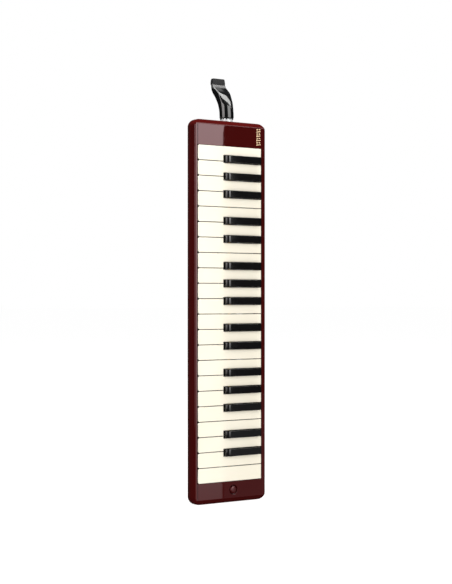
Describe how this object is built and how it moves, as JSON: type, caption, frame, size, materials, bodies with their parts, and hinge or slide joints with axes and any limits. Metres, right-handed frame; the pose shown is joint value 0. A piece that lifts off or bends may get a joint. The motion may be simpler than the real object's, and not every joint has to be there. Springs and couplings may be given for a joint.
{
  "type": "melodica",
  "caption": "Free-reed wind keyboard with a long key bed in a slim burgundy plastic case, a bent black mouthpiece at its bass end, a drain button and a hand strap.",
  "frame": {"origin": "centre of the flat treble end that the instrument stands on", "axes": "+Z along the instrument towards the mouthpiece, -Y out of the keyboard, -X towards the fronts of the white keys"},
  "size_m": [0.098, 0.0487, 0.4765],
  "materials": {
    "case_plastic": "gloss, deep burgundy",
    "lower_case_plastic": "satin gloss, deep burgundy",
    "mouthpiece_plastic": "high gloss black",
    "tip_plastic": "matt dark grey",
    "socket_plastic": "pale satin",
    "seal_rubber": "matt black",
    "chamber_plastic": "moulded dark grey",
    "gasket_rubber": "matt",
    "board_plastic": "moulded pale grey",
    "reed_plate_brass": "brushed",
    "reed_bronze": "polished",
    "rivet_brass": "turned",
    "screw_steel": "black-oxide and zinc",
    "axle_steel": "ground",
    "bracket_steel": "stamped",
    "spring_bronze": "rolled",
    "felt": "pressed felt",
    "button_plastic": "gloss, deep burgundy",
    "spring_steel": "drawn wire",
    "strap_webbing": "woven black webbing",
    "anchor_plastic": "matt black",
    "white_key_plastic": "gloss, warm white",
    "black_key_plastic": "satin gloss black"
  },
  "bodies": {
    "case": {"axle_brackets": "bracket_steel", "case_screws": "screw_steel", "chamber_gasket": "gasket_rubber", "chamber_screws": "screw_steel", "drain_spring": "spring_steel", "hand_strap": "strap_webbing", "inlet_seal": "seal_rubber", "inlet_socket": "socket_plastic", "key_axle": "axle_steel", "key_rest_felt": "felt", "key_springs": "spring_bronze", "lower_case": "lower_case_plastic", "pallet_board": "board_plastic", "reed_plates": "reed_plate_brass", "reed_rivets": "rivet_brass", "reeds": "reed_bronze", "strap_anchors": "anchor_plastic", "upper_case": "case_plastic", "wind_chamber": "chamber_plastic"},
    "mouthpiece": {"mouthpiece": "mouthpiece_plastic", "mouthpiece_tip": "tip_plastic"},
    "drain_button": {"drain_button": "button_plastic", "drain_valve_disc": "seal_rubber"},
    "white_key_01": {"white_key_01": "white_key_plastic"},
    "white_key_02": {"white_key_02": "white_key_plastic"},
    "white_key_03": {"white_key_03": "white_key_plastic"},
    "white_key_04": {"white_key_04": "white_key_plastic"},
    "white_key_05": {"white_key_05": "white_key_plastic"},
    "white_key_06": {"white_key_06": "white_key_plastic"},
    "white_key_07": {"white_key_07": "white_key_plastic"},
    "white_key_08": {"white_key_08": "white_key_plastic"},
    "white_key_09": {"white_key_09": "white_key_plastic"},
    "white_key_10": {"white_key_10": "white_key_plastic"},
    "white_key_11": {"white_key_11": "white_key_plastic"},
    "white_key_12": {"white_key_12": "white_key_plastic"},
    "white_key_13": {"white_key_13": "white_key_plastic"},
    "white_key_14": {"white_key_14": "white_key_plastic"},
    "white_key_15": {"white_key_15": "white_key_plastic"},
    "white_key_16": {"white_key_16": "white_key_plastic"},
    "white_key_17": {"white_key_17": "white_key_plastic"},
    "white_key_18": {"white_key_18": "white_key_plastic"},
    "white_key_19": {"white_key_19": "white_key_plastic"},
    "white_key_20": {"white_key_20": "white_key_plastic"},
    "white_key_21": {"white_key_21": "white_key_plastic"},
    "white_key_22": {"white_key_22": "white_key_plastic"},
    "black_key_01": {"black_key_01": "black_key_plastic"},
    "black_key_02": {"black_key_02": "black_key_plastic"},
    "black_key_03": {"black_key_03": "black_key_plastic"},
    "black_key_05": {"black_key_05": "black_key_plastic"},
    "black_key_06": {"black_key_06": "black_key_plastic"},
    "black_key_08": {"black_key_08": "black_key_plastic"},
    "black_key_09": {"black_key_09": "black_key_plastic"},
    "black_key_10": {"black_key_10": "black_key_plastic"},
    "black_key_12": {"black_key_12": "black_key_plastic"},
    "black_key_13": {"black_key_13": "black_key_plastic"},
    "black_key_15": {"black_key_15": "black_key_plastic"},
    "black_key_16": {"black_key_16": "black_key_plastic"},
    "black_key_17": {"black_key_17": "black_key_plastic"},
    "black_key_19": {"black_key_19": "black_key_plastic"},
    "black_key_20": {"black_key_20": "black_key_plastic"}
  },
  "joints": [
    {"name": "white_key_press_01", "type": "hinge", "parent": "case", "child": "white_key_01", "pos_m": [0.014, -0.0105, 0.21], "axis": [0, 0, -1], "range_deg": [0, 4.2], "stiffness_Nm_per_rad": 0.3, "springref_deg": -6.88, "deforming": ["key_springs"]},
    {"name": "white_key_press_02", "type": "hinge", "parent": "case", "child": "white_key_02", "pos_m": [0.014, -0.0105, 0.21], "axis": [0, 0, -1], "range_deg": [0, 4.2], "stiffness_Nm_per_rad": 0.3, "springref_deg": -6.88, "deforming": ["key_springs"]},
    {"name": "white_key_press_03", "type": "hinge", "parent": "case", "child": "white_key_03", "pos_m": [0.014, -0.0105, 0.21], "axis": [0, 0, -1], "range_deg": [0, 4.2], "stiffness_Nm_per_rad": 0.3, "springref_deg": -6.88, "deforming": ["key_springs"]},
    {"name": "white_key_press_04", "type": "hinge", "parent": "case", "child": "white_key_04", "pos_m": [0.014, -0.0105, 0.21], "axis": [0, 0, -1], "range_deg": [0, 4.2], "stiffness_Nm_per_rad": 0.3, "springref_deg": -6.88, "deforming": ["key_springs"]},
    {"name": "white_key_press_05", "type": "hinge", "parent": "case", "child": "white_key_05", "pos_m": [0.014, -0.0105, 0.21], "axis": [0, 0, -1], "range_deg": [0, 4.2], "stiffness_Nm_per_rad": 0.3, "springref_deg": -6.88, "deforming": ["key_springs"]},
    {"name": "white_key_press_06", "type": "hinge", "parent": "case", "child": "white_key_06", "pos_m": [0.014, -0.0105, 0.21], "axis": [0, 0, -1], "range_deg": [0, 4.2], "stiffness_Nm_per_rad": 0.3, "springref_deg": -6.88, "deforming": ["key_springs"]},
    {"name": "white_key_press_07", "type": "hinge", "parent": "case", "child": "white_key_07", "pos_m": [0.014, -0.0105, 0.21], "axis": [0, 0, -1], "range_deg": [0, 4.2], "stiffness_Nm_per_rad": 0.3, "springref_deg": -6.88, "deforming": ["key_springs"]},
    {"name": "white_key_press_08", "type": "hinge", "parent": "case", "child": "white_key_08", "pos_m": [0.014, -0.0105, 0.21], "axis": [0, 0, -1], "range_deg": [0, 4.2], "stiffness_Nm_per_rad": 0.3, "springref_deg": -6.88, "deforming": ["key_springs"]},
    {"name": "white_key_press_09", "type": "hinge", "parent": "case", "child": "white_key_09", "pos_m": [0.014, -0.0105, 0.21], "axis": [0, 0, -1], "range_deg": [0, 4.2], "stiffness_Nm_per_rad": 0.3, "springref_deg": -6.88, "deforming": ["key_springs"]},
    {"name": "white_key_press_10", "type": "hinge", "parent": "case", "child": "white_key_10", "pos_m": [0.014, -0.0105, 0.21], "axis": [0, 0, -1], "range_deg": [0, 4.2], "stiffness_Nm_per_rad": 0.3, "springref_deg": -6.88, "deforming": ["key_springs"]},
    {"name": "white_key_press_11", "type": "hinge", "parent": "case", "child": "white_key_11", "pos_m": [0.014, -0.0105, 0.21], "axis": [0, 0, -1], "range_deg": [0, 4.2], "stiffness_Nm_per_rad": 0.3, "springref_deg": -6.88, "deforming": ["key_springs"]},
    {"name": "white_key_press_12", "type": "hinge", "parent": "case", "child": "white_key_12", "pos_m": [0.014, -0.0105, 0.21], "axis": [0, 0, -1], "range_deg": [0, 4.2], "stiffness_Nm_per_rad": 0.3, "springref_deg": -6.88, "deforming": ["key_springs"]},
    {"name": "white_key_press_13", "type": "hinge", "parent": "case", "child": "white_key_13", "pos_m": [0.014, -0.0105, 0.21], "axis": [0, 0, -1], "range_deg": [0, 4.2], "stiffness_Nm_per_rad": 0.3, "springref_deg": -6.88, "deforming": ["key_springs"]},
    {"name": "white_key_press_14", "type": "hinge", "parent": "case", "child": "white_key_14", "pos_m": [0.014, -0.0105, 0.21], "axis": [0, 0, -1], "range_deg": [0, 4.2], "stiffness_Nm_per_rad": 0.3, "springref_deg": -6.88, "deforming": ["key_springs"]},
    {"name": "white_key_press_15", "type": "hinge", "parent": "case", "child": "white_key_15", "pos_m": [0.014, -0.0105, 0.21], "axis": [0, 0, -1], "range_deg": [0, 4.2], "stiffness_Nm_per_rad": 0.3, "springref_deg": -6.88, "deforming": ["key_springs"]},
    {"name": "white_key_press_16", "type": "hinge", "parent": "case", "child": "white_key_16", "pos_m": [0.014, -0.0105, 0.21], "axis": [0, 0, -1], "range_deg": [0, 4.2], "stiffness_Nm_per_rad": 0.3, "springref_deg": -6.88, "deforming": ["key_springs"]},
    {"name": "white_key_press_17", "type": "hinge", "parent": "case", "child": "white_key_17", "pos_m": [0.014, -0.0105, 0.21], "axis": [0, 0, -1], "range_deg": [0, 4.2], "stiffness_Nm_per_rad": 0.3, "springref_deg": -6.88, "deforming": ["key_springs"]},
    {"name": "white_key_press_18", "type": "hinge", "parent": "case", "child": "white_key_18", "pos_m": [0.014, -0.0105, 0.21], "axis": [0, 0, -1], "range_deg": [0, 4.2], "stiffness_Nm_per_rad": 0.3, "springref_deg": -6.88, "deforming": ["key_springs"]},
    {"name": "white_key_press_19", "type": "hinge", "parent": "case", "child": "white_key_19", "pos_m": [0.014, -0.0105, 0.21], "axis": [0, 0, -1], "range_deg": [0, 4.2], "stiffness_Nm_per_rad": 0.3, "springref_deg": -6.88, "deforming": ["key_springs"]},
    {"name": "white_key_press_20", "type": "hinge", "parent": "case", "child": "white_key_20", "pos_m": [0.014, -0.0105, 0.21], "axis": [0, 0, -1], "range_deg": [0, 4.2], "stiffness_Nm_per_rad": 0.3, "springref_deg": -6.88, "deforming": ["key_springs"]},
    {"name": "white_key_press_21", "type": "hinge", "parent": "case", "child": "white_key_21", "pos_m": [0.014, -0.0105, 0.21], "axis": [0, 0, -1], "range_deg": [0, 4.2], "stiffness_Nm_per_rad": 0.3, "springref_deg": -6.88, "deforming": ["key_springs"]},
    {"name": "white_key_press_22", "type": "hinge", "parent": "case", "child": "white_key_22", "pos_m": [0.014, -0.0105, 0.21], "axis": [0, 0, -1], "range_deg": [0, 4.2], "stiffness_Nm_per_rad": 0.3, "springref_deg": -6.88, "deforming": ["key_springs"]},
    {"name": "black_key_press_01", "type": "hinge", "parent": "case", "child": "black_key_01", "pos_m": [0.014, -0.0105, 0.21], "axis": [0, 0, -1], "range_deg": [0, 6], "stiffness_Nm_per_rad": 0.22, "springref_deg": -6.88, "deforming": ["key_springs"]},
    {"name": "black_key_press_02", "type": "hinge", "parent": "case", "child": "black_key_02", "pos_m": [0.014, -0.0105, 0.21], "axis": [0, 0, -1], "range_deg": [0, 6], "stiffness_Nm_per_rad": 0.22, "springref_deg": -6.88, "deforming": ["key_springs"]},
    {"name": "black_key_press_03", "type": "hinge", "parent": "case", "child": "black_key_03", "pos_m": [0.014, -0.0105, 0.21], "axis": [0, 0, -1], "range_deg": [0, 6], "stiffness_Nm_per_rad": 0.22, "springref_deg": -6.88, "deforming": ["key_springs"]},
    {"name": "black_key_press_05", "type": "hinge", "parent": "case", "child": "black_key_05", "pos_m": [0.014, -0.0105, 0.21], "axis": [0, 0, -1], "range_deg": [0, 6], "stiffness_Nm_per_rad": 0.22, "springref_deg": -6.88, "deforming": ["key_springs"]},
    {"name": "black_key_press_06", "type": "hinge", "parent": "case", "child": "black_key_06", "pos_m": [0.014, -0.0105, 0.21], "axis": [0, 0, -1], "range_deg": [0, 6], "stiffness_Nm_per_rad": 0.22, "springref_deg": -6.88, "deforming": ["key_springs"]},
    {"name": "black_key_press_08", "type": "hinge", "parent": "case", "child": "black_key_08", "pos_m": [0.014, -0.0105, 0.21], "axis": [0, 0, -1], "range_deg": [0, 6], "stiffness_Nm_per_rad": 0.22, "springref_deg": -6.88, "deforming": ["key_springs"]},
    {"name": "black_key_press_09", "type": "hinge", "parent": "case", "child": "black_key_09", "pos_m": [0.014, -0.0105, 0.21], "axis": [0, 0, -1], "range_deg": [0, 6], "stiffness_Nm_per_rad": 0.22, "springref_deg": -6.88, "deforming": ["key_springs"]},
    {"name": "black_key_press_10", "type": "hinge", "parent": "case", "child": "black_key_10", "pos_m": [0.014, -0.0105, 0.21], "axis": [0, 0, -1], "range_deg": [0, 6], "stiffness_Nm_per_rad": 0.22, "springref_deg": -6.88, "deforming": ["key_springs"]},
    {"name": "black_key_press_12", "type": "hinge", "parent": "case", "child": "black_key_12", "pos_m": [0.014, -0.0105, 0.21], "axis": [0, 0, -1], "range_deg": [0, 6], "stiffness_Nm_per_rad": 0.22, "springref_deg": -6.88, "deforming": ["key_springs"]},
    {"name": "black_key_press_13", "type": "hinge", "parent": "case", "child": "black_key_13", "pos_m": [0.014, -0.0105, 0.21], "axis": [0, 0, -1], "range_deg": [0, 6], "stiffness_Nm_per_rad": 0.22, "springref_deg": -6.88, "deforming": ["key_springs"]},
    {"name": "black_key_press_15", "type": "hinge", "parent": "case", "child": "black_key_15", "pos_m": [0.014, -0.0105, 0.21], "axis": [0, 0, -1], "range_deg": [0, 6], "stiffness_Nm_per_rad": 0.22, "springref_deg": -6.88, "deforming": ["key_springs"]},
    {"name": "black_key_press_16", "type": "hinge", "parent": "case", "child": "black_key_16", "pos_m": [0.014, -0.0105, 0.21], "axis": [0, 0, -1], "range_deg": [0, 6], "stiffness_Nm_per_rad": 0.22, "springref_deg": -6.88, "deforming": ["key_springs"]},
    {"name": "black_key_press_17", "type": "hinge", "parent": "case", "child": "black_key_17", "pos_m": [0.014, -0.0105, 0.21], "axis": [0, 0, -1], "range_deg": [0, 6], "stiffness_Nm_per_rad": 0.22, "springref_deg": -6.88, "deforming": ["key_springs"]},
    {"name": "black_key_press_19", "type": "hinge", "parent": "case", "child": "black_key_19", "pos_m": [0.014, -0.0105, 0.21], "axis": [0, 0, -1], "range_deg": [0, 6], "stiffness_Nm_per_rad": 0.22, "springref_deg": -6.88, "deforming": ["key_springs"]},
    {"name": "black_key_press_20", "type": "hinge", "parent": "case", "child": "black_key_20", "pos_m": [0.014, -0.0105, 0.21], "axis": [0, 0, -1], "range_deg": [0, 6], "stiffness_Nm_per_rad": 0.22, "springref_deg": -6.88, "deforming": ["key_springs"]},
    {"name": "drain_button_press", "type": "slide", "parent": "case", "child": "drain_button", "axis": [0, 1, 0], "range_m": [0, 0.0025], "stiffness_N_per_m": 300, "springref_m": -0.003, "deforming": ["drain_spring"]},
    {"name": "mouthpiece_pull", "type": "slide", "parent": "case", "child": "mouthpiece", "axis": [0, 0, 1], "range_m": [0, 0.027]}
  ]
}
